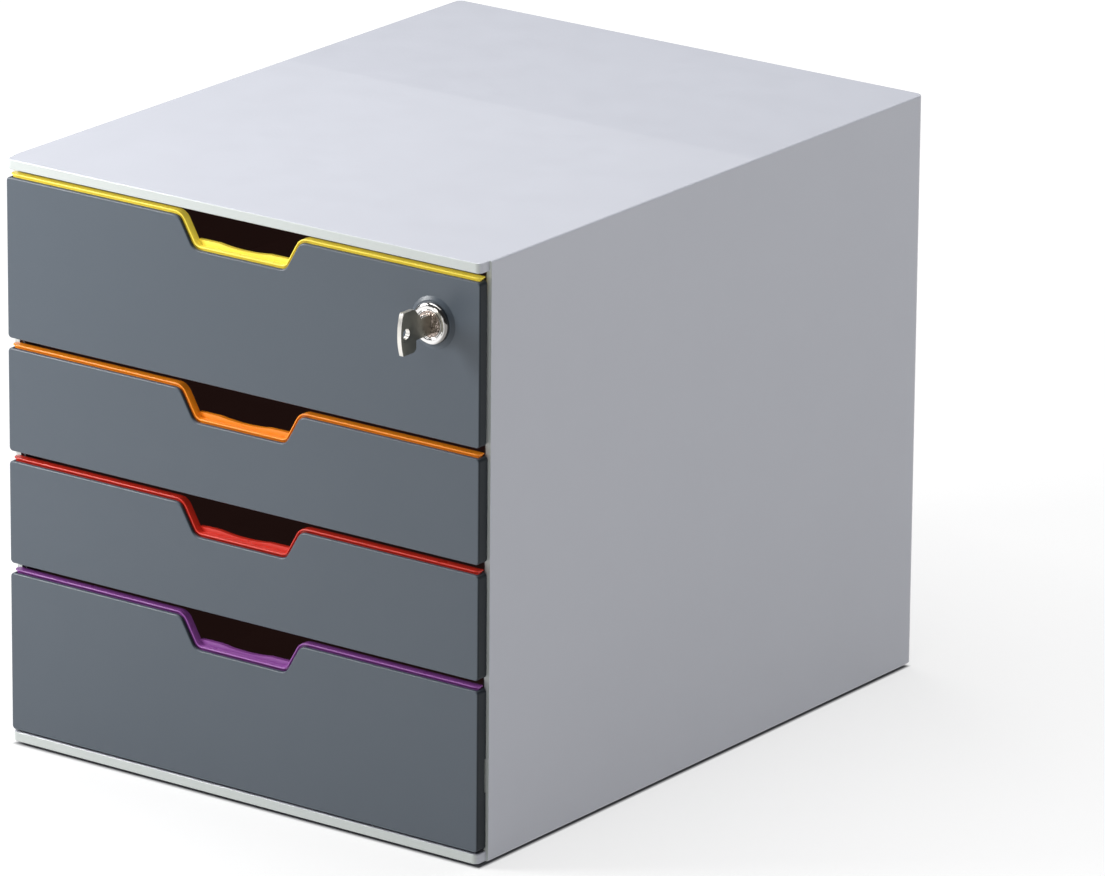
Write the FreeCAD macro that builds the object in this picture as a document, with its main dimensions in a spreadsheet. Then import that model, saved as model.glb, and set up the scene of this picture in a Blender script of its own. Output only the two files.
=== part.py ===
import FreeCAD, Part
import math
import os
from types import SimpleNamespace

# Desktop file drawer: a moulded box with four drawers that slide out of its front.
# Frame: +X to the right, +Y to the back, +Z up, origin under the middle of the box on the desk.
# Units are millimetres.

doc = FreeCAD.newDocument("desktop_file_drawer")

SIZES = (
    # The box
    ("case_width", 280.0, "across the outside of the two sides"),
    ("case_depth", 356.0, "from the front of the drawers to the back"),
    ("wall", 2.8, "moulded wall of the box"),
    ("foot_lift", 2.0, "gap between the desk and the rim of the base"),
    ("base_rim", 4.9, "height of the base seen below the bottom drawer"),
    ("base_gap", 0.9, "between the base and the bottom drawer's front"),
    ("top_gap", 3.9, "between the top drawer's front and the top's rim"),
    ("top_rim", 5.0, "height of the top's front rim"),
    ("lip_reach", 7.0, "how far top and base reach in front of the sides"),
    ("lip_inset", 1.3, "how far the lips and drawer fronts stand in from the sides"),
    ("lip_corner", 3.0, "corner of a lip seen from above"),
    ("case_corner", 4.0, "upright corners at the back of the box"),
    ("edge_round", 0.9, "long outer edges of the box"),
    ("lip_round", 0.6, "front edges of the lips"),
    ("ledge_width", 8.0, "ledge that the back panel seats on"),
    ("ledge_depth", 5.5, "thickness of that ledge"),
    ("back_thickness", 2.5, "back panel"),
    ("back_recess", 2.0, "back panel in from the rear edges of the box"),
    ("panel_fit", 0.2, "gap around a panel dropped into a seat"),
    ("foot_radius", 8.0, "rubber foot"),
    ("foot_inset", 22.0, "centre of a foot from the sides of the box"),
    ("foot_taper", 0.8, "slope of a foot's rim"),
    # The runners
    ("runner_plate", 1.6, "plate that carries the rails"),
    ("runner_setback", 1.5, "plate behind the front edge of a side"),
    ("runner_rear_gap", 1.2, "plate in front of the back panel's ledge"),
    ("rail_reach", 4.0, "rail from its plate towards the drawer"),
    ("rail_thickness", 2.2, "rail"),
    ("rail_setback", 0.6, "rail behind the front wall of a closed tray"),
    ("stop_height", 4.0, "stop below a rail"),
    ("stop_length", 3.0, "stop along a rail"),
    ("side_clearance", 0.6, "tray to rail and flange to plate"),
    ("run_clearance", 0.15, "flange above the rail it slides on"),
    ("lug_clearance", 0.35, "lug below the rail"),
    ("stop_clearance", 0.3, "lug to stop at full reach"),
    ("drawer_travel", 250.0, "how far a drawer opens"),
    # The trays
    ("front_large", 79.1, "height of the top and bottom fronts"),
    ("front_small", 51.2, "height of the two middle fronts"),
    ("front_gap", 4.9, "between two fronts"),
    ("tray_back_gap", 10.0, "back of a closed tray to the rear of the box"),
    ("tray_wall", 2.0, "sides and back of a tray"),
    ("tray_floor", 2.0, "floor of a tray"),
    ("tray_front", 2.2, "front wall of a tray"),
    ("tray_lift", 1.2, "tray above the lower edge of its front"),
    ("tray_drop", 3.5, "tray rim below the upper edge of its front"),
    ("tray_corner", 6.0, "upright corners at the back of a tray"),
    ("flange_thickness", 2.0, "rim that slides on the rail"),
    ("lug_length", 12.0, "lug that holds a pulled drawer level"),
    ("lug_from_back", 6.0, "lug from the back of the tray"),
    # The drawer fronts
    ("return_depth", 6.4, "how far a front wraps round its ends"),
    ("lock_relief", 1.0, "the locking front wraps this much less"),
    ("shell_wall", 1.6, "front wall of a drawer front"),
    ("shell_side", 1.8, "ends and lower edge of a drawer front"),
    ("front_corner", 2.0, "corners of a front seen from the front"),
    ("front_round", 0.8, "edges around the face of a front"),
    ("boss_radius", 3.5, "screw boss inside a front"),
    ("screw_from_lock", 26.7, "screws of a front in from the lock's centre"),
    ("screw_low", 14.0, "lower screws above the lower edge"),
    ("screw_high", 20.5, "upper screws below the upper edge"),
    ("slot_height", 16.8, "notch in the ends of the bottom front"),
    ("slot_depth", 0.9, "depth of that notch"),
    ("slot_low", 28.0, "notch above the lower edge"),
    # The finger cut-out and the coloured inlay that lines it
    ("handle_top", 71.2, "width of the cut-out at the upper edge"),
    ("handle_floor", 53.8, "width of the cut-out at its floor"),
    ("handle_depth", 15.0, "depth of the cut-out"),
    ("handle_round", 5.3, "its corners"),
    ("inlay_rise", 1.75, "top of the coloured strip above the front's edge"),
    ("inlay_plate", 0.6, "thin plate of the strip that overhangs the front's edge"),
    ("inlay_setback", 1.25, "front edge of that plate behind the front plane"),
    ("inlay_inset", 1.0, "ends of that plate in from the ends of the front"),
    ("inlay_body", 1.0, "thickness of the strip below the plate"),
    ("inlay_depth", 5.2, "back edge of the strip behind the front plane"),
    ("inlay_fit", 0.2, "gap around the inlay inside the front"),
    ("inlay_corner", 2.5, "front corners of that plate seen from above"),
    ("inlay_edge", 0.4, "rounded front edge of the plate"),
    ("groove", 1.2, "open groove below the plate, between the front's wall and the web"),
    ("web_thickness", 1.2, "upright web of the inlay"),
    ("web_drop", 6.0, "web below the strip"),
    ("web_foot", 1.5, "height of the rib that meets the tray"),
    ("finger_lip", 2.4, "upstand behind the floor of the cut-out"),
    ("dip_width", 30.0, "dip in the middle of the upstand"),
    ("dip_depth", 1.1, "depth of that dip"),
    # Screws
    ("screw_radius", 1.5, "shank"),
    ("screw_length", 6.0, "shank below the head"),
    ("head_radius", 3.1, "pan head"),
    ("head_height", 1.7, "pan head"),
    ("head_round", 0.6, "edge of the pan head"),
    ("hole_clearance", 0.05, "shank in its hole"),
    # The lock
    ("lock_from_side", 27.8, "centre of the lock from the side of the box"),
    ("lock_below_top", 23.7, "centre of the lock below the front's upper edge"),
    ("collar_radius", 12.6, "raised ring moulded round the lock"),
    ("collar_top_radius", 10.9, "its rim"),
    ("collar_height", 1.0, "ring in front of the face"),
    ("flange_radius", 10.0, "bright flange of the barrel"),
    ("flange_height", 2.0, "flange in front of the ring's seat"),
    ("flange_round", 1.3, "outer edge of the flange"),
    ("barrel_radius", 8.0, "barrel"),
    ("barrel_length", 18.0, "barrel behind the flange"),
    ("lock_fit", 0.05, "barrel, nut and plug clearance"),
    ("nut_radius", 12.0, "corner of the hexagon nut"),
    ("nut_height", 4.0, "nut"),
    ("plug_radius", 6.2, "turning plug"),
    ("plug_stub", 0.4, "plug behind the barrel"),
    ("tail_width", 6.0, "square tail of the plug"),
    ("cam_thickness", 2.0, "cam"),
    ("cam_length", 25.9, "cam from the lock's centre to its tip"),
    ("cam_hub", 7.0, "round end of the cam"),
    ("cam_width", 12.0, "arm of the cam"),
    ("cam_fit", 0.1, "cam on the plug's tail"),
    ("cam_screw_length", 3.2, "screw that holds the cam"),
    ("keeper_thickness", 2.8, "downstand that the cam turns up behind"),
    ("keeper_clearance", 0.5, "cam to keeper"),
    ("keeper_drop", 7.2, "downstand below the ceiling"),
    ("keeper_width", 32.0, "keeper"),
    ("keeper_foot", 12.0, "foot of the keeper on the ceiling"),
    ("keeper_plate", 1.5, "thickness of that foot"),
    # The key
    ("key_thickness", 2.2, "flat key"),
    ("blade_height", 8.0, "blade"),
    ("blade_gap", 1.2, "tip of the blade in front of the cam's screw"),
    ("neck_height", 9.4, "neck between blade and bow"),
    ("neck_length", 11.0, "neck in front of the plug"),
    ("neck_gap", 0.2, "neck to plug"),
    ("bow_length", 11.5, "bow at its middle"),
    ("bow_height", 20.4, "bow"),
    ("bow_bulge", 1.8, "how far the end of the bow is rounded out"),
    ("bow_corner", 2.4, "corners of the bow"),
    ("shoulder_length", 3.6, "slope from the top of the bow down to the neck"),
    ("bow_hole_radius", 2.5, "hole in the bow"),
    ("bow_hole_place", 7.6, "hole from the neck's end of the bow"),
    ("bit_pitch", 3.2, "from one wafer to the next"),
    ("bit_width", 1.6, "notch in the blade"),
    ("bit_depth", 1.2, "deepest notch in the blade"),
    ("first_bit", 3.4, "first wafer behind the plug's face"),
    ("keyway_fit", 0.15, "key in the plug"),
    ("wafer_thickness", 0.9, "wafer"),
    ("wafer_width", 5.0, "wafer"),
    ("wafer_height", 11.1, "wafer"),
    ("wafer_fit", 0.1, "wafer in its slot"),
    ("overrun", 1.0, "how far a cut passes the face it opens"),
)


class Formula:
    """A length worked out from the sheet: its value, and the words FreeCAD binds it with."""

    def __init__(self, value, text):
        self.value = value
        self.text = text

    def joined(self, sign, other, value):
        return Formula(value, f"({self.text} {sign} {other.text})")

    def __add__(self, other):
        other = formula(other)
        return self.joined("+", other, self.value + other.value)

    def __sub__(self, other):
        other = formula(other)
        return self.joined("-", other, self.value - other.value)

    def __mul__(self, other):
        other = formula(other)
        return self.joined("*", other, self.value * other.value)

    def __truediv__(self, other):
        other = formula(other)
        return self.joined("/", other, self.value / other.value)

    def __neg__(self):
        return Formula(-self.value, f"(0 - {self.text})")

    def __radd__(self, other):
        return formula(other) + self

    def __rsub__(self, other):
        return formula(other) - self

    def __rmul__(self, other):
        return formula(other) * self


def formula(number):
    return number if isinstance(number, Formula) else Formula(number, repr(number))


def root(length):
    return Formula(math.sqrt(length.value), f"sqrt({length.text})")


def write_sheet():
    sheet = doc.addObject("Spreadsheet::Sheet", "Sizes")
    named = {}
    for row, (alias, number, note) in enumerate(SIZES, start=1):
        sheet.set(f"A{row}", alias)
        sheet.set(f"B{row}", str(number))
        sheet.setAlias(f"B{row}", alias)
        sheet.set(f"C{row}", note)
        named[alias] = Formula(number, f"Sizes.{alias}")
    doc.recompute()
    return SimpleNamespace(**named)


s = write_sheet()
parts = []

# Places that several pieces share
front = -s.case_depth / 2
rear = s.case_depth / 2
side_front = front + s.lip_reach
inner_half = s.case_width / 2 - s.wall
front_half = s.case_width / 2 - s.lip_inset
base_top = s.foot_lift + s.base_rim
plate_face = inner_half - s.runner_plate
tray_half = plate_face - s.rail_reach - s.side_clearance
flange_half = tray_half + s.rail_reach
tray_face = front + s.return_depth
tray_inside = tray_face + s.tray_front
tray_back = rear - s.tray_back_gap
back_plane = rear - s.back_recess - s.back_thickness
ledge_front = back_plane - s.ledge_depth
lug_front = tray_back - s.lug_from_back - s.lug_length


def stack_drawers():
    """The drawers from the bottom up, each with the heights that its pieces share."""
    drawers = []
    low = base_top + s.base_gap
    for name in ("bottom", "third", "second", "top"):
        height = s.front_large if name in ("bottom", "top") else s.front_small
        high = low + height
        rim = high - s.tray_drop
        rail_top = rim - s.flange_thickness - s.run_clearance
        drawers.append(
            SimpleNamespace(
                name=name,
                low=low,
                high=high,
                rim=rim,
                rail_top=rail_top,
                rail_low=rail_top - s.rail_thickness,
                floor=high - s.handle_depth,
            )
        )
        low = high + s.front_gap
    return drawers


drawers = stack_drawers()
case_top = drawers[-1].high + s.top_gap + s.top_rim
ceiling = case_top - s.wall
lock_x = s.case_width / 2 - s.lock_from_side
lock_z = drawers[-1].high - s.lock_below_top


# Ways of making a solid from the sheet


def bind(item, **lengths):
    for name, length in lengths.items():
        item.setExpression(name, length.text)
    return item


def place(item, x, y, z):
    for axis, length in (("x", x), ("y", y), ("z", z)):
        item.setExpression(f"Placement.Base.{axis}", formula(length).text)
    return item


def block(name, x, y, z):
    box = doc.addObject("Part::Box", name)
    bind(box, Length=x[1] - x[0], Width=y[1] - y[0], Height=z[1] - z[0])
    return place(box, x[0], y[0], z[0])


TO_BACK = FreeCAD.Rotation(FreeCAD.Vector(1, 0, 0), -90)
STANDING = FreeCAD.Rotation(FreeCAD.Vector(1, 0, 0), 90)
TO_RIGHT = FreeCAD.Rotation(FreeCAD.Vector(0, 1, 0), 90)
SIDEWAYS = FreeCAD.Rotation(FreeCAD.Vector(1, 1, 1), 120)
MID_ARC = math.sqrt(0.5)


def rod(name, radius, x, y, z):
    """A cylinder that runs from front to back, between the two places y."""
    item = doc.addObject("Part::Cylinder", name)
    item.Placement.Rotation = TO_BACK
    bind(item, Radius=radius, Height=y[1] - y[0])
    return place(item, x, y[0], z)


def pin(name, radius, x, y, z):
    """A cylinder that runs from left to right, between the two places x."""
    item = doc.addObject("Part::Cylinder", name)
    item.Placement.Rotation = TO_RIGHT
    bind(item, Radius=radius, Height=x[1] - x[0])
    return place(item, x[0], y, z)


def cone(name, radii, x, y, z):
    """A cone that runs from front to back, its first radius in front."""
    item = doc.addObject("Part::Cone", name)
    item.Placement.Rotation = TO_BACK
    bind(item, Radius1=radii[0], Radius2=radii[1], Height=y[1] - y[0])
    return place(item, x, y[0], z)


def fuse(name, *items):
    item = doc.addObject("Part::MultiFuse", name)
    item.Shapes = list(items)
    item.Refine = True
    return item


def cut(name, base, *tools):
    item = doc.addObject("Part::Cut", name)
    item.Base = base
    item.Tool = tools[0] if len(tools) == 1 else fuse(f"{name}_tools", *tools)
    item.Refine = True
    return item


def common(name, base, tool):
    item = doc.addObject("Part::Common", name)
    item.Base = base
    item.Tool = tool
    return item


def group(name, items):
    item = doc.addObject("Part::Compound", name)
    item.Links = items
    return item


def rounded(name, base, radius, pick):
    """The base with the picked edges rounded."""
    doc.recompute()
    edges = [n for n, edge in enumerate(base.Shape.Edges, start=1) if pick(edge)]
    if not edges:
        raise ValueError(f"{name} has no edge to round")
    item = doc.addObject("Part::Fillet", name)
    item.Base = base
    item.Edges = [(n, radius.value, radius.value) for n in edges]
    return item


NEAR = 1e-4


def at(point, places):
    return all(abs(getattr(point, axis) - place.value) < NEAR for axis, place in places.items())


def running(direction, *choices):
    """Picks straight edges that run along an axis and whose middle is at one of the choices."""

    def pick(edge):
        ends = edge.Vertexes
        if len(ends) != 2:
            return False
        step = ends[1].Point - ends[0].Point
        straight = abs(step.Length - edge.Length) < NEAR
        along = abs(abs(getattr(step, direction)) - step.Length) < NEAR
        return straight and along and any(at(edge.CenterOfMass, c) for c in choices)

    return pick


def on_plane(axis, place):
    """Picks edges that lie in a plane square to an axis."""

    def pick(edge):
        box = edge.BoundBox
        low = getattr(box, f"{axis.upper()}Min")
        high = getattr(box, f"{axis.upper()}Max")
        return abs(low - place.value) < NEAR and abs(high - place.value) < NEAR

    return pick


def both(length):
    return (-length, length)


def on_side(sign, near, far):
    """The span between two distances from the middle, on the right (1) or on the left (-1)."""
    return (near, far) if sign > 0 else (-far, -near)


def finish(node, item):
    """Gives a finished piece its node name."""
    item.Label = node
    parts.append(item)
    return item


# The box: one moulding with a top, two sides and a base


def lip(name, z):
    """The front edge of the top or the base, in front of the sides and between their faces."""
    slab = block(name, both(front_half), (front, side_front + s.wall), z)
    corners = [dict(x=x, y=front) for x in both(front_half)]
    return rounded(f"{name}_round", slab, s.lip_corner, running("z", *corners))


def case_shell():
    sleeve = block("sleeve", both(s.case_width / 2), (side_front, rear), (s.foot_lift, case_top))
    backs = [dict(x=x, y=rear) for x in both(s.case_width / 2)]
    sleeve = rounded("sleeve_backs", sleeve, s.case_corner, running("z", *backs))
    long_edges = [
        dict(x=x, z=z) for x in both(s.case_width / 2) for z in (s.foot_lift, case_top)
    ]
    sleeve = rounded("sleeve_edges", sleeve, s.edge_round, running("y", *long_edges))
    outside = fuse(
        "case_outside",
        sleeve,
        lip("top_lip", (case_top - s.top_rim, case_top)),
        lip("base_lip", (s.foot_lift, base_top)),
    )
    behind_lip = side_front + s.wall
    inside = block("case_inside", both(inner_half), (behind_lip, ledge_front), (base_top, ceiling))
    mouth = block(
        "case_mouth",
        both(inner_half),
        (side_front - s.overrun, behind_lip + s.overrun),
        (base_top, case_top - s.top_rim),
    )
    window = block(
        "case_window",
        both(inner_half - s.ledge_width),
        (ledge_front - s.overrun, rear + s.overrun),
        (base_top + s.ledge_width, ceiling - s.ledge_width),
    )
    rebate = block(
        "case_rebate", both(inner_half), (back_plane, rear + s.overrun), (base_top, ceiling)
    )
    underside = block(
        "case_underside",
        both(front_half - s.wall),
        (front + s.wall, rear - s.wall),
        (s.foot_lift - s.overrun, base_top - s.wall),
    )
    holes = [
        rod(f"case_hole_{n}", s.screw_radius + s.hole_clearance, x, (ledge_front, back_plane), z)
        for n, (x, z) in enumerate(back_screw_places(), start=1)
    ]
    shell = cut("case_body", outside, inside, mouth, window, rebate, underside, *holes)
    faces = [dict(z=z, y=front) for z in (case_top, s.foot_lift, base_top, case_top - s.top_rim)]
    finish("case_shell", rounded("case_edges", shell, s.lip_round, running("x", *faces)))


def back_screw_places():
    across = inner_half - s.ledge_width / 2
    return [
        (x, z)
        for x in both(across)
        for z in (base_top + s.ledge_width / 2, ceiling - s.ledge_width / 2)
    ]


def back_panel():
    panel = block(
        "back_plate",
        both(inner_half - s.panel_fit),
        (back_plane, back_plane + s.back_thickness),
        (base_top + s.panel_fit, ceiling - s.panel_fit),
    )
    holes = [
        rod(
            f"back_hole_{n}",
            s.screw_radius + s.hole_clearance,
            x,
            (back_plane - s.overrun, rear + s.overrun),
            z,
        )
        for n, (x, z) in enumerate(back_screw_places(), start=1)
    ]
    finish("back_panel", cut("back_body", panel, *holes))


def screw(name, x, y, z, towards):
    """A pan head screw with its head on the plane y; it drives to the back (1) or the front (-1)."""
    shank = (y, y + s.screw_length) if towards > 0 else (y - s.screw_length, y)
    head = (y - s.head_height, y) if towards > 0 else (y, y + s.head_height)
    crown = head[0] if towards > 0 else head[1]
    cap = rounded(
        f"{name}_head",
        rod(f"{name}_cap", s.head_radius, x, head, z),
        s.head_round,
        on_plane("y", crown),
    )
    return fuse(name, cap, rod(f"{name}_shank", s.screw_radius, x, shank, z))


def back_panel_screws():
    seat = back_plane + s.back_thickness
    items = [
        screw(f"back_screw_{n}", x, seat, z, -1)
        for n, (x, z) in enumerate(back_screw_places(), start=1)
    ]
    finish("back_panel_screws", group("back_screws", items))


def feet():
    for end, along in (("front", front + s.foot_inset), ("rear", rear - s.foot_inset)):
        for hand, sign in (("left", -1), ("right", 1)):
            across = sign * (s.case_width / 2 - s.foot_inset)
            foot = doc.addObject("Part::Cone", f"foot_{end}_{hand}")
            bind(
                foot,
                Radius1=s.foot_radius - s.foot_taper,
                Radius2=s.foot_radius,
                Height=base_top - s.wall,
            )
            finish(f"foot_{end}_{hand}", place(foot, across, 0, 0))
            foot.setExpression("Placement.Base.y", along.text)


# The runners: a plate on each side of the box with a rail and a stop for every drawer


def runner_frame(hand, sign):
    start = side_front + s.runner_setback
    end = ledge_front - s.runner_rear_gap
    pieces = [
        block(
            f"{hand}_plate",
            on_side(sign, plate_face, inner_half),
            (start, end),
            (base_top, case_top - s.top_rim),
        )
    ]
    stop_back = lug_front - s.drawer_travel - s.stop_clearance
    for drawer in drawers:
        reach = on_side(sign, plate_face - s.rail_reach, plate_face)
        rail = block(
            f"{hand}_{drawer.name}_rail",
            reach,
            (tray_inside + s.rail_setback, end),
            (drawer.rail_low, drawer.rail_top),
        )
        stop = block(
            f"{hand}_{drawer.name}_stop",
            reach,
            (stop_back - s.stop_length, stop_back),
            (drawer.rail_low - s.stop_height, drawer.rail_low),
        )
        pieces += [rail, stop]
    finish(f"{hand}_runner_frame", fuse(f"{hand}_runner", *pieces))


# The finger cut-out in the upper edge of every front

slope = (s.handle_top - s.handle_floor) / 2 / s.handle_depth
slant = root(slope * slope + 1)


def cutout(name, drawer, y, spread, rise):
    """The cut-out's prism, grown by spread on every slanted and lower face, up to rise above
    the front's upper edge."""
    low = drawer.floor - spread
    floor_half = s.handle_floor / 2 + spread * (slant - slope)
    top_half = s.handle_top / 2 + spread * slant + rise * slope
    prism = doc.addObject("Part::Wedge", name)
    prism.Placement.Rotation = STANDING
    bind(
        prism,
        Xmin=-floor_half,
        Xmax=floor_half,
        X2min=-top_half,
        X2max=top_half,
        Ymin=formula(0.0),
        Ymax=drawer.high + rise - low,
        Zmin=formula(0.0),
        Zmax=y[1] - y[0],
        Z2min=formula(0.0),
        Z2max=y[1] - y[0],
    )
    place(prism, 0, y[1], low)
    corners = [dict(x=x, z=low) for x in both(floor_half)]
    return rounded(f"{name}_round", prism, s.handle_round + spread, running("y", *corners))


def shoulders(name, drawer, body, spread):
    """The body with its edges rounded where the cut-out meets the upper edge. Both have been
    grown by spread."""
    across = s.handle_top / 2 + spread * (slant - slope)
    picked = running("y", *[dict(x=x, z=drawer.high - spread) for x in both(across)])
    return rounded(name, body, s.handle_round - spread, picked)


def open_space(name, drawer, half, y, spread):
    """The room above a front and in its cut-out, grown by spread, with rounded shoulders."""
    above = block(f"{name}_above", both(half), y, (drawer.high - spread, drawer.high + s.front_gap))
    room = fuse(f"{name}_room", above, cutout(f"{name}_gap", drawer, y, spread, s.inlay_rise))
    if spread.value < s.handle_round.value:
        room = shoulders(f"{name}_shoulders", drawer, room, spread)
    return room


def band(name, drawer, half, y, outer, inner):
    """A layer that follows the upper edge and the cut-out, between two such rooms."""
    solid = open_space(f"{name}_outer", drawer, half, y, outer)
    past = (y[0] - s.overrun, y[1] + s.overrun)
    return cut(name, solid, open_space(f"{name}_inner", drawer, half + s.overrun, past, inner))


def front_screw_places(drawer):
    heights = (drawer.low + s.screw_low, drawer.high - s.screw_high)
    return [(x, z) for x in both(lock_x - s.screw_from_lock) for z in heights]


def drawer_front(drawer):
    """The dark shell: a face with the cut-out, wrapped round its ends and lower edge."""
    locking = drawer.name == "top"
    back = tray_face - s.lock_relief if locking else tray_face
    label = f"{drawer.name}_front"
    slab = block(f"{label}_slab", both(front_half), (front, back), (drawer.low, drawer.high))
    corners = [dict(x=x, z=z) for x in both(front_half) for z in (drawer.low, drawer.high)]
    slab = rounded(f"{label}_corners", slab, s.front_corner, running("y", *corners))
    gap = cutout(
        f"{label}_cutout", drawer, (front - s.overrun, back + s.overrun), formula(0.0), s.overrun
    )
    slab = cut(f"{label}_gapped", slab, gap)
    slab = shoulders(f"{label}_shoulders", drawer, slab, formula(0.0))
    slab = rounded(f"{label}_rounds", slab, s.front_round, on_plane("y", front))
    hollow = block(
        f"{label}_hollow",
        both(front_half - s.shell_side),
        (front + s.shell_wall, tray_face + s.overrun),
        (drawer.low + s.shell_side, drawer.high + s.overrun),
    )
    shell = cut(f"{label}_shell", slab, hollow)
    shell = fuse(f"{label}_bossed", shell, *bosses(label, drawer))
    shell = cut(f"{label}_drilled", shell, *boss_holes(label, drawer))
    if locking:
        shell = lock_seat(label, shell)
    if drawer.name == "bottom":
        shell = end_notches(label, shell, drawer, back)
    finish(f"{drawer.name}_drawer_front", shell)


def bosses(label, drawer):
    return [
        rod(f"{label}_boss_{n}", s.boss_radius, x, (front + s.shell_wall, tray_face), z)
        for n, (x, z) in enumerate(front_screw_places(drawer), start=1)
    ]


def boss_holes(label, drawer):
    reach = (tray_inside - s.screw_length - s.hole_clearance, tray_face + s.overrun)
    return [
        rod(f"{label}_hole_{n}", s.screw_radius + s.hole_clearance, x, reach, z)
        for n, (x, z) in enumerate(front_screw_places(drawer), start=1)
    ]


def lock_seat(label, shell):
    """The raised ring and the hole for the lock's barrel."""
    ring = cone(
        f"{label}_ring",
        (s.collar_top_radius, s.collar_radius),
        lock_x,
        (front - s.collar_height, front),
        lock_z,
    )
    backing = rod(
        f"{label}_backing", s.collar_radius, lock_x, (front + s.front_round, tray_face), lock_z
    )
    joined = fuse(f"{label}_ringed", shell, ring, backing)
    bore = rod(
        f"{label}_bore",
        s.barrel_radius + s.lock_fit,
        lock_x,
        (front - s.collar_height - s.overrun, tray_face + s.overrun),
        lock_z,
    )
    return cut(f"{label}_bored", joined, bore)


def end_notches(label, shell, drawer, back):
    low = drawer.low + s.slot_low
    notches = [
        block(
            f"{label}_notch_{hand}",
            on_side(sign, front_half - s.shell_side - s.overrun, front_half + s.overrun),
            (back - s.slot_depth, back + s.overrun),
            (low, low + s.slot_height),
        )
        for hand, sign in (("left", -1), ("right", 1))
    ]
    return cut(f"{label}_notched", shell, *notches)


def drawer_inlay(drawer):
    """The coloured strip along the upper edge, which lines the cut-out. A thin plate shows above
    the front's edge, over an open groove. A web behind the groove carries the plate, and its foot
    is held between the front's wall and the tray."""
    label = f"{drawer.name}_inlay"
    plate_half = front_half - s.inlay_inset
    half = front_half - s.shell_side - s.inlay_fit
    back = front + s.inlay_depth
    low = s.inlay_plate + s.inlay_body - s.inlay_rise
    web_low = low + s.web_drop
    plate_span = (front + s.inlay_setback, back)
    plate = band(
        f"{label}_plate", drawer, plate_half, plate_span, s.inlay_plate - s.inlay_rise, -s.inlay_rise
    )
    ends = [dict(x=x, y=plate_span[0]) for x in both(plate_half)]
    plate = rounded(f"{label}_ends", plate, s.inlay_corner, running("z", *ends))
    plate = rounded(f"{label}_edge", plate, s.inlay_edge, rim_edges(drawer, plate_span[0]))
    web_front = front + s.shell_wall
    web_back = web_front + s.groove
    body_span = (web_back, back)
    web_span = (web_back, web_back + s.web_thickness)
    foot_span = (web_front, tray_face)
    joined = fuse(
        f"{label}_joined",
        plate,
        band(f"{label}_body", drawer, half, body_span, low, -s.inlay_rise),
        band(f"{label}_web", drawer, half, web_span, web_low, low - s.inlay_body),
        band(f"{label}_foot", drawer, half, foot_span, web_low, web_low - s.web_foot),
        upstand(label, drawer, (back - s.overrun, tray_face)),
    )
    finish(f"{drawer.name}_drawer_inlay", joined)


def rim_edges(drawer, place):
    """The edges of an inlay's upper rim that lie in the plane y."""

    def pick(edge):
        middle = edge.CenterOfMass
        rim = drawer.high + s.inlay_rise
        return abs(middle.y - place.value) < NEAR and abs(middle.z - rim.value) < NEAR

    return pick


def upstand(label, drawer, span):
    """The upstand behind the floor of the cut-out, which dips in the middle."""
    shelf = drawer.floor + s.inlay_rise
    upper = shelf + s.finger_lip
    half = s.handle_floor / 2
    wall = block(f"{label}_upstand", both(half), span, (shelf - s.inlay_plate, upper))
    radius = (s.dip_width * s.dip_width / 4 + s.dip_depth * s.dip_depth) / (2 * s.dip_depth)
    past = (span[0] - s.overrun, span[1] + s.overrun)
    dip = rod(f"{label}_dip", radius, 0, past, upper - s.dip_depth + radius)
    return cut(f"{label}_dipped", wall, dip)


def drawer_tray(drawer):
    label = f"{drawer.name}_tray"
    low = drawer.low + s.tray_lift
    outside = block(f"{label}_box", both(tray_half), (tray_face, tray_back), (low, drawer.rim))
    corners = [dict(x=x, y=tray_back) for x in both(tray_half)]
    outside = rounded(f"{label}_corners", outside, s.tray_corner, running("z", *corners))
    hollow_half = tray_half - s.tray_wall
    hollow_back = tray_back - s.tray_wall
    hollow = block(
        f"{label}_hollow",
        both(hollow_half),
        (tray_inside, hollow_back),
        (low + s.tray_floor, drawer.high + s.overrun),
    )
    inner = [dict(x=x, y=y) for x in both(hollow_half) for y in (tray_inside, hollow_back)]
    hollow = rounded(
        f"{label}_hollow_corners", hollow, s.tray_corner - s.tray_wall, running("z", *inner)
    )
    wall = block(
        f"{label}_front_wall",
        both(flange_half),
        (tray_face, tray_inside),
        (low, drawer.high - s.tray_drop / 2),
    )
    gap = cutout(
        f"{label}_cutout",
        drawer,
        (tray_face - s.overrun, tray_inside + s.overrun),
        s.tray_drop / 2,
        s.overrun,
    )
    reach = (tray_inside - s.screw_length, tray_inside + s.overrun)
    holes = [
        rod(f"{label}_hole_{n}", s.screw_radius + s.hole_clearance, x, reach, z)
        for n, (x, z) in enumerate(front_screw_places(drawer), start=1)
    ]
    if drawer.name == "top":
        bore = (tray_face - s.overrun, tray_inside + s.overrun)
        holes.append(rod(f"{label}_bore", s.barrel_radius + s.lock_fit, lock_x, bore, lock_z))
    body = fuse(f"{label}_solid", cut(f"{label}_open", outside, hollow), wall)
    body = fuse(f"{label}_flanged", body, *flanges(label, drawer))
    finish(f"{drawer.name}_drawer_tray", cut(f"{label}_body", body, gap, *holes))


def flanges(label, drawer):
    """The rims that slide on the rails, and the lugs below them that reach under the rails."""
    lug_top = drawer.rail_low - s.lug_clearance
    pieces = []
    for hand, sign in (("left", -1), ("right", 1)):
        rim = block(
            f"{label}_flange_{hand}",
            on_side(sign, tray_half - s.tray_wall, flange_half),
            (tray_inside, tray_back - s.tray_corner),
            (drawer.rim - s.flange_thickness, drawer.rim),
        )
        lug = block(
            f"{label}_lug_{hand}",
            on_side(sign, tray_half - s.tray_wall, flange_half),
            (lug_front, lug_front + s.lug_length),
            (lug_top - s.stop_height, lug_top),
        )
        pieces += [rim, lug]
    return pieces


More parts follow.
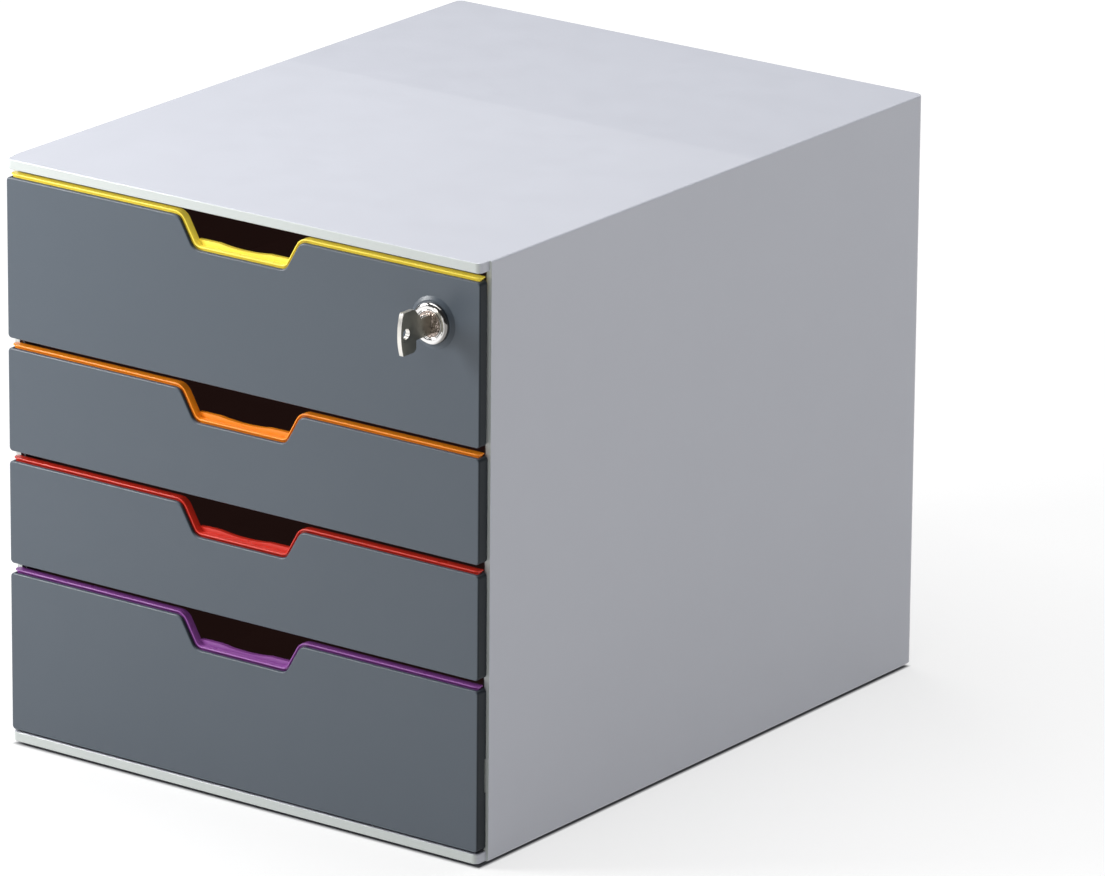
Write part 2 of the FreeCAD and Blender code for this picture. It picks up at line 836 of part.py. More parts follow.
def drawer_screws(drawer):
    items = [
        screw(f"{drawer.name}_screw_{n}", x, tray_inside, z, -1)
        for n, (x, z) in enumerate(front_screw_places(drawer), start=1)
    ]
    finish(f"{drawer.name}_drawer_screws", group(f"{drawer.name}_screws", items))


# The lock in the top drawer

seat = front - s.collar_height
face = seat - s.flange_height
barrel_back = seat + s.barrel_length
plug_back = barrel_back + s.plug_stub
cam_back = plug_back + s.cam_thickness
blade_tip = cam_back - s.cam_screw_length - s.blade_gap


def lock_barrel():
    flange = rod("barrel_flange", s.flange_radius, lock_x, (face, seat), lock_z)
    flange = rounded("barrel_flange_edge", flange, s.flange_round, on_plane("y", face))
    tube = rod("barrel_tube", s.barrel_radius, lock_x, (face + s.flange_round, barrel_back), lock_z)
    bore = rod(
        "barrel_bore",
        s.plug_radius + s.lock_fit,
        lock_x,
        (face - s.overrun, barrel_back + s.overrun),
        lock_z,
    )
    finish("lock_barrel", cut("barrel_body", fuse("barrel_solid", flange, tube), bore))


def lock_nut():
    nut = doc.addObject("Part::Prism", "nut_hexagon")
    nut.Placement.Rotation = TO_BACK
    nut.Polygon = 6
    bind(nut, Circumradius=s.nut_radius, Height=s.nut_height)
    place(nut, lock_x, tray_inside, lock_z)
    reach = (tray_inside - s.overrun, tray_inside + s.nut_height + s.overrun)
    bore = rod("nut_bore", s.barrel_radius + s.lock_fit, lock_x, reach, lock_z)
    finish("lock_nut", cut("nut_body", nut, bore))


def around(middle, width):
    return (middle - width / 2, middle + width / 2)


def wafer_places():
    """The middle of each of the five wafers along the lock, front to back."""
    return [face + s.first_bit + n * s.bit_pitch for n in range(5)]


def lock_plug():
    core = rod("plug_core", s.plug_radius, lock_x, (face, plug_back), lock_z)
    tail = block(
        "plug_tail",
        around(lock_x, s.tail_width),
        (plug_back - s.overrun, cam_back - s.cam_fit),
        around(lock_z, s.tail_width),
    )
    keyway = block(
        "plug_keyway",
        around(lock_x, s.key_thickness + 2 * s.keyway_fit),
        (face - s.overrun, blade_tip + s.neck_gap),
        around(lock_z, s.blade_height + 2 * s.keyway_fit),
    )
    slots = [
        block(
            f"plug_slot_{n}",
            around(lock_x, s.wafer_width + 2 * s.wafer_fit),
            around(middle, s.wafer_thickness + 2 * s.wafer_fit),
            around(lock_z, 2 * (s.plug_radius + s.overrun)),
        )
        for n, middle in enumerate(wafer_places(), start=1)
    ]
    hole = rod(
        "plug_screw_hole",
        s.screw_radius + s.hole_clearance,
        lock_x,
        (cam_back - s.cam_screw_length - s.hole_clearance, cam_back + s.overrun),
        lock_z,
    )
    finish("lock_plug", cut("plug_body", fuse("plug_solid", core, tail), keyway, hole, *slots))


def lock_wafers():
    items = []
    for n, middle in enumerate(wafer_places(), start=1):
        span = around(middle, s.wafer_thickness)
        plate = block(
            f"wafer_plate_{n}", around(lock_x, s.wafer_width), span, around(lock_z, s.wafer_height)
        )
        window = block(
            f"wafer_window_{n}",
            around(lock_x, s.key_thickness + 2 * s.keyway_fit),
            (span[0] - s.overrun, span[1] + s.overrun),
            around(lock_z, s.blade_height + 2 * s.keyway_fit),
        )
        items.append(cut(f"wafer_{n}", plate, window))
    finish("lock_wafers", group("wafers", items))


def lock_cam():
    """The cam lies to the left when unlocked and turns up behind the keeper."""
    span = (plug_back, cam_back)
    tip = lock_x - s.cam_length
    hub = rod("cam_hub_disc", s.cam_hub, lock_x, span, lock_z)
    arm = block("cam_arm", (tip, lock_x), span, around(lock_z, s.cam_width))
    corners = [dict(x=tip, z=z) for z in around(lock_z, s.cam_width)]
    arm = rounded("cam_arm_tip", arm, s.cam_thickness, running("y", *corners))
    socket = block(
        "cam_socket",
        around(lock_x, s.tail_width + 2 * s.cam_fit),
        (plug_back - s.overrun, cam_back + s.overrun),
        around(lock_z, s.tail_width + 2 * s.cam_fit),
    )
    finish("lock_cam", cut("cam_body", fuse("cam_solid", hub, arm), socket))


def lock_cam_screw():
    head = (cam_back, cam_back + s.head_height)
    wide = s.tail_width / 2 + s.head_height
    cap = rod("cam_screw_cap", wide, lock_x, head, lock_z)
    cap = rounded("cam_screw_head", cap, s.head_round, on_plane("y", head[1]))
    shank = rod(
        "cam_screw_shank",
        s.screw_radius,
        lock_x,
        (cam_back - s.cam_screw_length, cam_back),
        lock_z,
    )
    finish("lock_cam_screw", fuse("cam_screw", cap, shank))


def lock_keeper():
    back = plug_back - s.keeper_clearance
    across = around(lock_x, s.keeper_width)
    foot = block(
        "keeper_foot_plate",
        across,
        (back - s.keeper_thickness, back + s.keeper_foot),
        (ceiling - s.keeper_plate, ceiling),
    )
    downstand = block(
        "keeper_downstand",
        across,
        (back - s.keeper_thickness, back),
        (ceiling - s.keeper_drop, ceiling),
    )
    finish("lock_keeper", fuse("keeper", foot, downstand))


def key():
    """A flat key: a bow with a rounded end and a hole, a neck with a sloping shoulder above it,
    and a notched blade."""
    flat = around(lock_x, s.key_thickness)
    neck_front = face - s.neck_length
    bow_front = neck_front - s.bow_length
    bow = block("key_bow_plate", flat, (bow_front, neck_front), around(lock_z, s.bow_height))
    corners = [
        dict(y=y, z=z) for y in (bow_front, neck_front) for z in around(lock_z, s.bow_height)
    ]
    bow = rounded("key_bow_corners", bow, s.bow_corner, running("x", *corners))
    half = s.bow_height / 2
    sweep = (half * half + s.bow_bulge * s.bow_bulge) / (2 * s.bow_bulge)
    bow = common("key_bow", bow, pin("key_bow_sweep", sweep, flat, bow_front + sweep, lock_z))
    neck = block(
        "key_neck",
        flat,
        (neck_front - s.bow_corner, face - s.neck_gap),
        around(lock_z, s.neck_height),
    )
    shoulder = doc.addObject("Part::Wedge", "key_shoulder")
    shoulder.Placement.Rotation = SIDEWAYS
    bind(
        shoulder,
        Xmin=formula(0.0),
        Xmax=s.bow_corner + s.shoulder_length,
        X2min=formula(0.0),
        X2max=s.bow_corner * MID_ARC,
        Ymin=formula(0.0),
        Ymax=(s.bow_height - s.neck_height) / 2 - s.bow_corner * (1 - MID_ARC),
        Zmin=formula(0.0),
        Zmax=s.key_thickness,
        Z2min=formula(0.0),
        Z2max=s.key_thickness,
    )
    place(shoulder, flat[0], neck_front - s.bow_corner, lock_z + s.neck_height / 2)
    blade = block(
        "key_blade",
        flat,
        (face - s.neck_gap - s.overrun, blade_tip),
        around(lock_z, s.blade_height),
    )
    tip = [dict(y=blade_tip, z=z) for z in around(lock_z, s.blade_height)]
    blade = rounded("key_blade_tip", blade, s.blade_height / 4, running("x", *tip))
    hole = pin(
        "key_hole",
        s.bow_hole_radius,
        (flat[0] - s.overrun, flat[1] + s.overrun),
        neck_front - s.bow_hole_place,
        lock_z,
    )
    finish("key", cut("key_body", fuse("key_solid", bow, neck, shoulder, blade), hole, *key_notches(flat)))


def key_notches(flat):
    """Notches of three depths in turn, one at each wafer, along the lower edge of the blade."""
    edge = lock_z - s.blade_height / 2
    notches = []
    for n, middle in enumerate(wafer_places()):
        depth = s.bit_depth * (1 + n % 3) / 3
        notches.append(
            block(
                f"key_notch_{n + 1}",
                (flat[0] - s.overrun, flat[1] + s.overrun),
                around(middle, s.bit_width),
                (edge - s.overrun, edge + depth),
            )
        )
    return notches


def write_parts():
    """Checks every object of the document and writes each piece to its own file."""
    doc.recompute()
    for item in doc.Objects:
        if "Invalid" in item.State or "Error" in item.State:
            raise RuntimeError(f"{item.Label} did not build: {item.State}")
    os.makedirs("parts", exist_ok=True)
    for item in parts:
        shape = item.Shape
        if shape.isNull() or not shape.isValid() or not shape.Solids:
            raise RuntimeError(f"{item.Label} has no valid solid")
        shape.exportStep(f"parts/{item.Label}.step")
        print(item.Label, len(shape.Solids), round(shape.Volume / 1000, 2), "cm3")


case_shell()
back_panel()
back_panel_screws()
feet()
runner_frame("left", -1)
runner_frame("right", 1)
for drawer in drawers:
    drawer_tray(drawer)
    drawer_front(drawer)
    drawer_inlay(drawer)
    drawer_screws(drawer)
lock_barrel()
lock_nut()
lock_plug()
lock_wafers()
lock_cam()
lock_cam_screw()
lock_keeper()
key()
write_parts()
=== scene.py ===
import math

import bmesh
import bpy
from mathutils import Matrix, Vector


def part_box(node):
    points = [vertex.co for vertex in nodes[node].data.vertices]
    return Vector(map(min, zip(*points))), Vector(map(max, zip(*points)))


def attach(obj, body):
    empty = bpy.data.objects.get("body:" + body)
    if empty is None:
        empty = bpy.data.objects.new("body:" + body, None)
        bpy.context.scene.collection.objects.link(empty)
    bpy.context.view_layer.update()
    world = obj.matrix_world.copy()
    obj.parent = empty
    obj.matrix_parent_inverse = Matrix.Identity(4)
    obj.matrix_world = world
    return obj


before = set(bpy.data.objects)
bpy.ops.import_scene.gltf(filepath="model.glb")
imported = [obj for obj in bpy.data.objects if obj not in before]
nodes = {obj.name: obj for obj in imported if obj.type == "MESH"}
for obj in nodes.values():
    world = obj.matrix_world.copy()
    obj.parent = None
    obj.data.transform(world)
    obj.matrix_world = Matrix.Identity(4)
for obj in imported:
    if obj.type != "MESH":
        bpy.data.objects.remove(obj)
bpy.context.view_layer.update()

# The view. A long lens looks at the box from its front right corner, a little from above,
# so that the front, the right side and the top all show.
case_low, case_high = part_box("case_shell")
view_azimuth = math.radians(36.14)
view_elevation = math.radians(18.09)
view_roll = math.radians(0.485)
view_distance = 4.353
film_width_mm = 36
lens_length_mm = 295.4
aim_right = 0.04022
aim_down = 0.01069
seen_from = 0.1
seen_to = 60

looking_back = Vector((
    math.sin(view_azimuth) * math.cos(view_elevation),
    -math.cos(view_azimuth) * math.cos(view_elevation),
    math.sin(view_elevation),
))
level = Vector((math.cos(view_azimuth), math.sin(view_azimuth), 0))
upright = looking_back.cross(level)
picture_right = level * math.cos(view_roll) + upright * math.sin(view_roll)
picture_up = upright * math.cos(view_roll) - level * math.sin(view_roll)
case_middle = Vector((0, 0, (case_low.z + case_high.z) / 2))

lens = bpy.data.cameras.new("view")
lens.sensor_width = film_width_mm
lens.lens = lens_length_mm
lens.clip_start = seen_from
lens.clip_end = seen_to
camera = bpy.data.objects.new("view", lens)
bpy.context.scene.collection.objects.link(camera)
view_turn = Matrix((picture_right, picture_up, looking_back)).transposed().to_4x4()
aim = case_middle + picture_right * aim_right - picture_up * aim_down
camera.matrix_world = Matrix.Translation(aim + looking_back * view_distance) @ view_turn
bpy.context.scene.camera = camera
bpy.context.scene.view_settings.view_transform = "Standard"


# The light table. A plain white sheet that runs out of the view on every side. It glows a little,
# more so further out, and its glow is cut off where the box stands on it: a painted shadow.
class Finish:
    """One material: a principled shader and the nodes that feed it."""

    # A mix node has sockets of the same name for each kind of value. These are the colours'.
    mix_amount, mix_from, mix_to, mix_result = 0, 6, 7, 2

    def __init__(self, name, **numbers):
        self.material = bpy.data.materials.new(name)
        self.material.use_nodes = True
        self.tree = self.material.node_tree
        self.shader = self.tree.nodes["Principled BSDF"]
        for socket, number in numbers.items():
            self.shader.inputs[socket.replace("_", " ")].default_value = number
        self.place = self.add("TexCoord").outputs["Object"]

    def add(self, kind, feeds=(), **settings):
        """Adds a node. Settings that name a socket set it, and the others set the node."""
        node = self.tree.nodes.new("ShaderNode" + kind)
        for name, setting in settings.items():
            socket = node.inputs.get(name.replace("_", " "))
            if socket is not None and not hasattr(node, name):
                socket.default_value = setting
            else:
                setattr(node, name, setting)
        for socket, source in feeds:
            self.tree.links.new(source, node.inputs[socket])
        return node

    def feed(self, socket, source):
        """Feeds a socket of the shader."""
        self.tree.links.new(source, self.shader.inputs[socket])

    def math(self, operation, *sources):
        """The result of a sum on one or two outputs."""
        return self.add("Math", list(enumerate(sources)), operation=operation).outputs["Value"]

    def noise(self, scale, detail=2.0):
        """Cloudy noise that varies over 1/scale metres."""
        feeds = [("Vector", self.place)]
        return self.add("TexNoise", feeds, Scale=scale, Detail=detail).outputs["Fac"]

    def spread(self, source, low, high, start=0.3, end=0.7):
        """Maps start to end, which is a noise's middle range if not given, to low to high."""
        return self.add(
            "MapRange", [("Value", source)],
            From_Min=start, From_Max=end, To_Min=low, To_Max=high,
        ).outputs["Result"]

    def blend(self, amount, one, other):
        """Feeds the colour with a blend of one, a colour or an output, and another colour."""
        node = self.add("Mix", [(self.mix_amount, amount)], data_type="RGBA")
        if isinstance(one, tuple):
            node.inputs[self.mix_from].default_value = (*one, 1)
        else:
            self.tree.links.new(one, node.inputs[self.mix_from])
        node.inputs[self.mix_to].default_value = (*other, 1)
        self.feed("Base Color", node.outputs[self.mix_result])
        return node.outputs[self.mix_result]

    def bump(self, source, height, strength, under=None):
        """Raises the surface by up to height metres where the source is high."""
        feeds = [("Height", source)]
        if under is not None:
            feeds.append(("Normal", under))
        node = self.add("Bump", feeds, Strength=strength, Distance=height)
        self.feed("Normal", node.outputs["Normal"])
        return node.outputs["Normal"]

    def facing(self, axis, start, end, either_way=False):
        """From 0 to 1 as the part of a face's normal along the piece's axis goes from start to
        end. The part's sign is left out where the face may look either way."""
        normal = self.add("TexCoord").outputs["Normal"]
        along = self.add("SeparateXYZ", [("Vector", normal)]).outputs[axis]
        if either_way:
            along = self.math("ABSOLUTE", along)
        return self.spread(along, low=0.0, high=1.0, start=start, end=end)

    def dress(self, *names):
        """Gives this finish to solids of the part."""
        for name in names:
            nodes[name].data.materials.clear()
            nodes[name].data.materials.append(self.material)


table_half = 15.0
table_white = (0.33, 0.33, 0.33)
table_cloud = (0.34, 0.34, 0.34)
glow_near = 0.62
glow_far = 1.0
glow_start = 0.35
glow_reach = 1.7
painted_shadow_edge_share = 0.985

table_mesh = bpy.data.meshes.new("table")
table_sides = ((-1, -1), (1, -1), (1, 1), (-1, 1))
corners = [(x * table_half, y * table_half, 0) for x, y in table_sides]
table_mesh.from_pydata(corners, [], [(0, 1, 2, 3)])
table = bpy.data.objects.new("table", table_mesh)
bpy.context.scene.collection.objects.link(table)

table_finish = Finish("table_white", Roughness=0.7, Emission_Color=(1, 1, 1, 1))
table_finish.blend(table_finish.noise(scale=3.0), table_white, table_cloud)
reach = table_finish.add("VectorMath", [(0, table_finish.place)], operation="LENGTH")
glow = table_finish.spread(
    reach.outputs["Value"], low=glow_near, high=glow_far, start=glow_start, end=glow_reach
)
place_parts = table_finish.add("SeparateXYZ", [("Vector", table_finish.place)])
case_halves = {"X": (case_high.x - case_low.x) / 2, "Y": (case_high.y - case_low.y) / 2}
case_shares = []
for axis, half in case_halves.items():
    size = table_finish.math("ABSOLUTE", place_parts.outputs[axis])
    share = table_finish.add("Math", [(0, size)], operation="DIVIDE")
    share.inputs[1].default_value = half
    case_shares.append(share.outputs["Value"])
outer_share = table_finish.math("MAXIMUM", *case_shares)
# The glow is cut off inside the box's footprint, which paints a dark shadow line under the base.
clear = table_finish.spread(outer_share, low=0.0, high=1.0, start=painted_shadow_edge_share, end=1.0)
table_finish.feed("Emission Strength", table_finish.math("MULTIPLY", glow, clear))
table_mesh.materials.append(table_finish.material)

# The studio light. A small soft lamp stands near at the front left, and a large one hangs
# above. A lit card hangs behind the box: the top reflects it, up to the line across the top.
room_light = 0.07
room_tone = (0.97, 0.985, 1, 1)
room = bpy.data.worlds.new("studio")
room.use_nodes = True
room.node_tree.nodes["Background"].inputs["Color"].default_value = room_tone
room.node_tree.nodes["Background"].inputs["Strength"].default_value = room_light
bpy.context.scene.world = room


def soft_lamp(name, power, place, towards, width, height):
    """A flat lamp at a place, which shines along the direction towards."""
    data = bpy.data.lights.new(name, "AREA")
    data.energy = power
    data.shape = "RECTANGLE"
    data.size = width
    data.size_y = height
    thing = bpy.data.objects.new(name, data)
    thing.location = place
    thing.rotation_mode = "QUATERNION"
    thing.rotation_quaternion = Vector(towards).to_track_quat("-Z", "Y")
    thing.visible_camera = False
    bpy.context.scene.collection.objects.link(thing)


soft_lamp(
    "key_lamp", power=6.7, place=(-0.6, -0.63, 0.53), towards=(0.6, 0.58, -0.38),
    width=0.3, height=0.3,
)
soft_lamp(
    "top_lamp", power=35.5, place=(-0.1, 0, 1.75), towards=(0.1, 0, -1.6),
    width=1.6, height=1.6,
)
soft_lamp(
    "back_card", power=2.2, place=(-0.5, 0.62, 1.015), towards=(0, -1, -0.1),
    width=2.4, height=1.0,
)

# The box. One light grey moulding with a satin skin: top, sides and base with a thin lip at
# the front. The back panel is a separate plate of the same plastic, screwed in from behind.
grey_light = (0.515, 0.529, 0.586)
grey_deep = (0.504, 0.517, 0.573)
grey_front_painted_light = (0.548, 0.583, 0.565)
case_finish = Finish(
    "case_grey", Roughness=0.42, Specular_IOR_Level=0.3, Coat_Weight=0.5, Coat_Roughness=0.02
)
case_colour = case_finish.blend(
    case_finish.noise(scale=9.0, detail=3.0), grey_light, grey_deep
)
# Faces that look to the front are painted lighter and greener: painted light on the lip and base
# rim.
case_finish.blend(case_finish.facing("Y", start=-0.5, end=-0.9), case_colour, grey_front_painted_light)
case_finish.feed(
    "Roughness", case_finish.spread(case_finish.noise(scale=60.0), low=0.38, high=0.46)
)
case_sink = case_finish.bump(
    case_finish.noise(scale=7.0, detail=1.0), height=0.0006, strength=0.25
)
case_finish.bump(
    case_finish.noise(scale=2200.0, detail=1.0), height=0.00002, strength=0.5, under=case_sink
)
case_finish.dress("case_shell", "back_panel")

# The runner frames. Two plates moulded in mid grey plastic, with a rail and a stop for every
# drawer, pushed flat against the sides inside.
runner_light = (0.20, 0.21, 0.22)
runner_deep = (0.18, 0.19, 0.2)
runner_finish = Finish("runner_grey", Roughness=0.4)
runner_finish.blend(runner_finish.noise(scale=20.0), runner_light, runner_deep)
runner_finish.bump(
    runner_finish.noise(scale=1500.0, detail=1.0), height=0.00002, strength=0.5
)
runner_finish.dress("left_runner_frame", "right_runner_frame")

# The feet. Four black rubber discs pressed into the underside of the base, with a dull and
# slightly rough face.
foot_dark = (0.022, 0.022, 0.022)
foot_worn = (0.035, 0.035, 0.035)
foot_finish = Finish("foot_rubber", Roughness=0.8)
foot_finish.blend(foot_finish.noise(scale=400.0), foot_dark, foot_worn)
foot_finish.bump(foot_finish.noise(scale=1800.0), height=0.00004, strength=0.6)
foot_finish.dress("foot_front_left", "foot_front_right", "foot_rear_left", "foot_rear_right")

# The trays. Deep open mouldings in near black plastic, which slide in the runners and carry
# the fronts on their front walls. A trace of glow stands for the light that strays inside.
drawers = ("top", "second", "third", "bottom")
tray_light = (0.050, 0.042, 0.038)
tray_deep = (0.058, 0.049, 0.044)
tray_stray_light = (0.0095, 0.0042, 0.0036, 1)
tray_finish = Finish(
    "tray_black", Roughness=0.42, Emission_Color=tray_stray_light, Emission_Strength=1.0
)
tray_finish.blend(tray_finish.noise(scale=12.0), tray_light, tray_deep)
tray_finish.feed(
    "Roughness", tray_finish.spread(tray_finish.noise(scale=45.0), low=0.38, high=0.5)
)
tray_finish.bump(tray_finish.noise(scale=1600.0, detail=1.0), height=0.00003, strength=0.5)
tray_finish.dress(*[f"{name}_drawer_tray" for name in drawers])

# The drawer fronts. Charcoal shells with a fine satin grain, which wrap round their ends and
# lower edge and are held by screws from inside the tray. Their right ends are painted dark:
# painted shade.
charcoal_light = (0.070, 0.088, 0.110)
charcoal_deep = (0.075, 0.094, 0.117)
charcoal_painted_shade = (0.026, 0.031, 0.036)
front_finish = Finish("front_charcoal", Roughness=0.36)
front_colour = front_finish.blend(
    front_finish.noise(scale=10.0, detail=3.0), charcoal_light, charcoal_deep
)
# Faces that look to the right are painted darker, with a weaker sheen: painted shade.
right_end_painted_shade = front_finish.facing("X", start=0.2, end=0.8)
front_finish.blend(right_end_painted_shade, front_colour, charcoal_painted_shade)
front_finish.feed(
    "Specular IOR Level",
    front_finish.spread(right_end_painted_shade, low=0.5, high=0.08, start=0.0, end=1.0),
)
front_finish.feed(
    "Roughness", front_finish.spread(front_finish.noise(scale=70.0), low=0.33, high=0.40)
)
front_sink = front_finish.bump(
    front_finish.noise(scale=8.0, detail=1.0), height=0.0005, strength=0.25
)
front_finish.bump(
    front_finish.noise(scale=2400.0, detail=1.0), height=0.00002, strength=0.5,
    under=front_sink,
)
front_finish.dress(*[f"{name}_drawer_front" for name in drawers])

# The inlays. Glossy coloured strips, one colour to a drawer, let in behind the upper edge of
# each front so that they line the finger cut-out. Each glows a little: painted light where they
# lie in shade.
inlay_colours = {
    "top": ((0.96, 0.765, 0.085), (0.94, 0.73, 0.075)),
    "second": ((0.92, 0.275, 0.012), (0.88, 0.25, 0.01)),
    "third": ((0.64, 0.030, 0.015), (0.58, 0.026, 0.013)),
    "bottom": ((0.285, 0.078, 0.34), (0.25, 0.066, 0.305)),
}
# How strongly each strip glows in its own colour: painted light.
inlay_painted_light = {"top": 0.17, "second": 0.13, "third": 0.12, "bottom": 0.1}
for name, (bright, deep) in inlay_colours.items():
    inlay_finish = Finish(f"inlay_{name}", Roughness=0.3, Emission_Strength=inlay_painted_light[name])
    inlay_colour = inlay_finish.blend(inlay_finish.noise(scale=40.0), bright, deep)
    inlay_finish.feed("Emission Color", inlay_colour)
    inlay_finish.feed(
        "Roughness", inlay_finish.spread(inlay_finish.noise(scale=90.0), low=0.26, high=0.36)
    )
    inlay_finish.bump(
        inlay_finish.noise(scale=2000.0, detail=1.0), height=0.00001, strength=0.5
    )
    inlay_finish.dress(f"{name}_drawer_inlay")

# The screws. Zinc plated pan heads: four behind each front, four in the back panel and one
# that holds the lock's cam. Each head has a thin dark cross plate: painted shade for the driver's
# recess.
zinc_bright = (0.58, 0.57, 0.55)
zinc_dull = (0.47, 0.46, 0.44)
screw_finish = Finish("screw_steel", Metallic=1.0, Roughness=0.32)
screw_finish.blend(screw_finish.noise(scale=500.0), zinc_bright, zinc_dull)
screw_finish.bump(screw_finish.noise(scale=2500.0), height=0.00001, strength=0.5)
screw_finish.dress(
    *[f"{name}_drawer_screws" for name in drawers], "back_panel_screws", "lock_cam_screw"
)

# The cross's dark colour is painted shade, standing in for the hollow of the recess.
recess_shade_pale = (0.05, 0.05, 0.048)
recess_shade_deep = (0.03, 0.03, 0.029)
recess_shade_finish = Finish("screw_recess_painted_shade", Metallic=0.6, Roughness=0.6)
recess_shade_finish.blend(recess_shade_finish.noise(scale=900.0), recess_shade_pale, recess_shade_deep)
recess_reach_share = 0.58
recess_width_share = 0.15
recess_proud = 0.00003


def screws_apart(node):
    """The corner points of each screw in the node, which are not joined to one another."""
    mesh = bmesh.new()
    mesh.from_mesh(nodes[node].data)
    found = set()
    screws = []
    for start in mesh.verts:
        if start in found:
            continue
        found.add(start)
        points, edge = [], [start]
        while edge:
            point = edge.pop()
            points.append(point.co.copy())
            for side in point.link_edges:
                other = side.other_vert(point)
                if other not in found:
                    found.add(other)
                    edge.append(other)
        screws.append(points)
    mesh.free()
    return screws


def cross_plates(name, node, body):
    """A dark cross plate of painted shade on the rear end of each screw in the node."""
    plates = bmesh.new()
    for points in screws_apart(node):
        across = [point.x for point in points]
        upward = [point.z for point in points]
        x, z = (min(across) + max(across)) / 2, (min(upward) + max(upward)) / 2
        y = max(point.y for point in points) + recess_proud
        head_radius = (max(across) - min(across)) / 2
        far, near = head_radius * recess_reach_share, head_radius * recess_width_share
        quarter = [(near, far), (near, near), (far, near)]
        outline = []
        for _ in range(4):
            outline += quarter
            quarter = [(v, -u) for u, v in quarter]
        plates.faces.new([plates.verts.new((x + u, y, z + v)) for u, v in outline])
    data = bpy.data.meshes.new(name)
    plates.to_mesh(data)
    plates.free()
    data.materials.append(recess_shade_finish.material)
    thing = bpy.data.objects.new(name, data)
    bpy.context.scene.collection.objects.link(thing)
    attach(thing, body)


for name in drawers:
    cross_plates(f"{name}_drawer_screw_crosses", f"{name}_drawer_screws", f"{name}_drawer")
cross_plates("back_panel_screw_crosses", "back_panel_screws", "housing")
cross_plates("lock_cam_screw_cross", "lock_cam_screw", "lock_cylinder")

# The lock's barrel. A chrome plated casting whose round flange lies on the drawer front. Its
# flange is crowned towards the rim, and a bright bead runs round the mouth for the plug.
chrome_bright = (0.86, 0.85, 0.84)
chrome_dull = (0.72, 0.71, 0.7)
chrome_painted_reflection = (0.26, 0.25, 0.24)
chrome_finish = Finish("lock_chrome", Metallic=1.0, Roughness=0.07)
chrome_colour = chrome_finish.blend(
    chrome_finish.noise(scale=300.0), chrome_bright, chrome_dull
)
# Faces that look to the right are painted dark: a painted reflection of the dark room on that
# side.
chrome_finish.blend(
    chrome_finish.facing("X", start=0.12, end=0.4), chrome_colour, chrome_painted_reflection
)
chrome_finish.feed(
    "Roughness", chrome_finish.spread(chrome_finish.noise(scale=200.0), low=0.05, high=0.12)
)
chrome_finish.bump(chrome_finish.noise(scale=230.0), height=0.0005, strength=0.5)
chrome_finish.dress("lock_barrel")
barrel_low, barrel_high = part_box("lock_barrel")
lock_x = (barrel_low.x + barrel_high.x) / 2
lock_z = (barrel_low.z + barrel_high.z) / 2
lathe_steps = 120


def turned(name, outline):
    """A chrome piece turned about the lock's axis. Its outline is a closed round of points,
    each a radius and a height in front of the barrel's face."""
    shape = bmesh.new()
    loops = []
    for n in range(lathe_steps):
        angle = 2 * math.pi * n / lathe_steps
        right, up = math.cos(angle), math.sin(angle)
        loops.append([
            shape.verts.new((lock_x + radius * right, barrel_low.y - height, lock_z + radius * up))
            for radius, height in outline
        ])
    for n, loop in enumerate(loops):
        after = loops[(n + 1) % lathe_steps]
        for m in range(len(outline)):
            k = (m + 1) % len(outline)
            shape.faces.new((loop[m], loop[k], after[k], after[m])).smooth = True
    bmesh.ops.recalc_face_normals(shape, faces=shape.faces)
    data = bpy.data.meshes.new(name)
    shape.to_mesh(data)
    shape.free()
    data.materials.append(chrome_finish.material)
    thing = bpy.data.objects.new(name, data)
    bpy.context.scene.collection.objects.link(thing)
    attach(thing, "top_drawer")


bead_radius = 0.0066
bead_half = 0.00034
bead_steps = 16
bead_angles = [2 * math.pi * n / bead_steps for n in range(bead_steps)]
turned("lock_ring", [
    (bead_radius + bead_half * math.cos(a), bead_half * math.sin(a)) for a in bead_angles
])

crown_radius = 0.008
crown_reach = 0.00198
crown_height = 0.00045
crown_drop = 0.00135
crown_inner = 0.007
crown_back = 0.0012
crown_start_degrees = -30
crown_sweep_degrees = 120
crown_steps = 14
crown_rim_share = 0.97
crown_mouth_share = 0.25
crown = []
for n in range(crown_steps + 1):
    a = math.radians(crown_start_degrees + crown_sweep_degrees * n / crown_steps)
    crown.append((
        crown_radius + crown_reach * math.sin(a), crown_height - crown_drop * (1 - math.cos(a))
    ))
crown.append((crown_radius + crown_reach * crown_rim_share, -crown_back))
crown.append((crown_inner, -crown_back * crown_mouth_share))
turned("lock_flange_crown", crown)
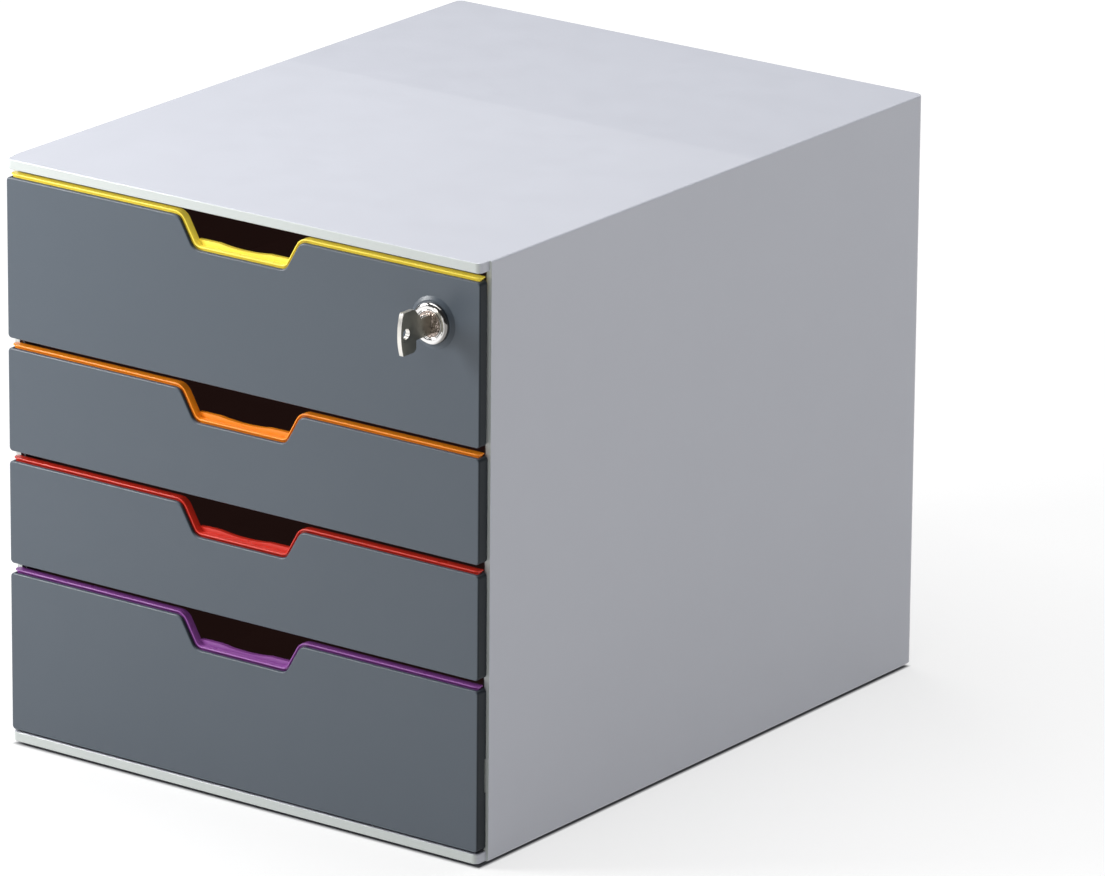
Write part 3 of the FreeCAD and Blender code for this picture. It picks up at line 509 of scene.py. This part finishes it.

# The lock's plug. A nickel plated cylinder that turns in the barrel, with the key's slot in
# its face. The face is scratched, and blotched brown all over: a painted brown reflection.
nickel = (0.72, 0.62, 0.56)
nickel_painted_reflection = (0.10, 0.065, 0.05)
plug_finish = Finish("plug_nickel", Metallic=1.0, Roughness=0.2)
# The brown blotches are painted reflection.
plug_finish.blend(plug_finish.noise(scale=420.0, detail=3.0), nickel, nickel_painted_reflection)
plug_finish.bump(plug_finish.noise(scale=500.0, detail=3.0), height=0.0012, strength=0.9)
plug_finish.dress("lock_plug")

# The wafers. Thin stamped brass plates that stand across the plug in its slots, and which
# the key lifts level so that the plug can turn.
brass_light = (0.72, 0.5, 0.2)
brass_deep = (0.6, 0.4, 0.16)
wafer_finish = Finish("wafer_brass", Metallic=1.0, Roughness=0.3)
wafer_finish.blend(wafer_finish.noise(scale=900.0), brass_light, brass_deep)
wafer_finish.dress("lock_wafers")

# The lock's steel pieces. A hexagon nut clamps the barrel from inside the drawer, a flat cam
# sits on the plug's tail, and a bent keeper under the box's top stops the cam.
steel_light = (0.55, 0.55, 0.54)
steel_deep = (0.42, 0.42, 0.42)
steel_finish = Finish("lock_steel", Metallic=1.0, Roughness=0.35)
steel_finish.blend(steel_finish.noise(scale=350.0), steel_light, steel_deep)
steel_finish.bump(steel_finish.noise(scale=1800.0), height=0.00002, strength=0.4)
steel_finish.dress("lock_nut", "lock_cam", "lock_keeper")

# The key. A flat nickel plated blank with a rounded bow and a hole for a ring. Its flats are
# painted duller and a little green, so its edges seem to catch the light: painted shade on the
# flats.
key_bright = (0.80, 0.78, 0.74)
key_dull = (0.70, 0.68, 0.63)
key_flat_painted_shade = (0.27, 0.262, 0.222)
key_finish = Finish("key_steel", Metallic=1.0, Roughness=0.3)
key_colour = key_finish.blend(key_finish.noise(scale=260.0, detail=4.0), key_bright, key_dull)
# Faces that look sideways are painted darker and greener: painted shade on the key's flats.
flat_side_painted_shade = key_finish.facing("X", start=0.6, end=0.9, either_way=True)
key_finish.blend(flat_side_painted_shade, key_colour, key_flat_painted_shade)
key_finish.feed(
    "Roughness", key_finish.spread(key_finish.noise(scale=150.0), low=0.25, high=0.4)
)
key_finish.bump(key_finish.noise(scale=1500.0), height=0.00002, strength=0.4)
key_finish.dress("key")
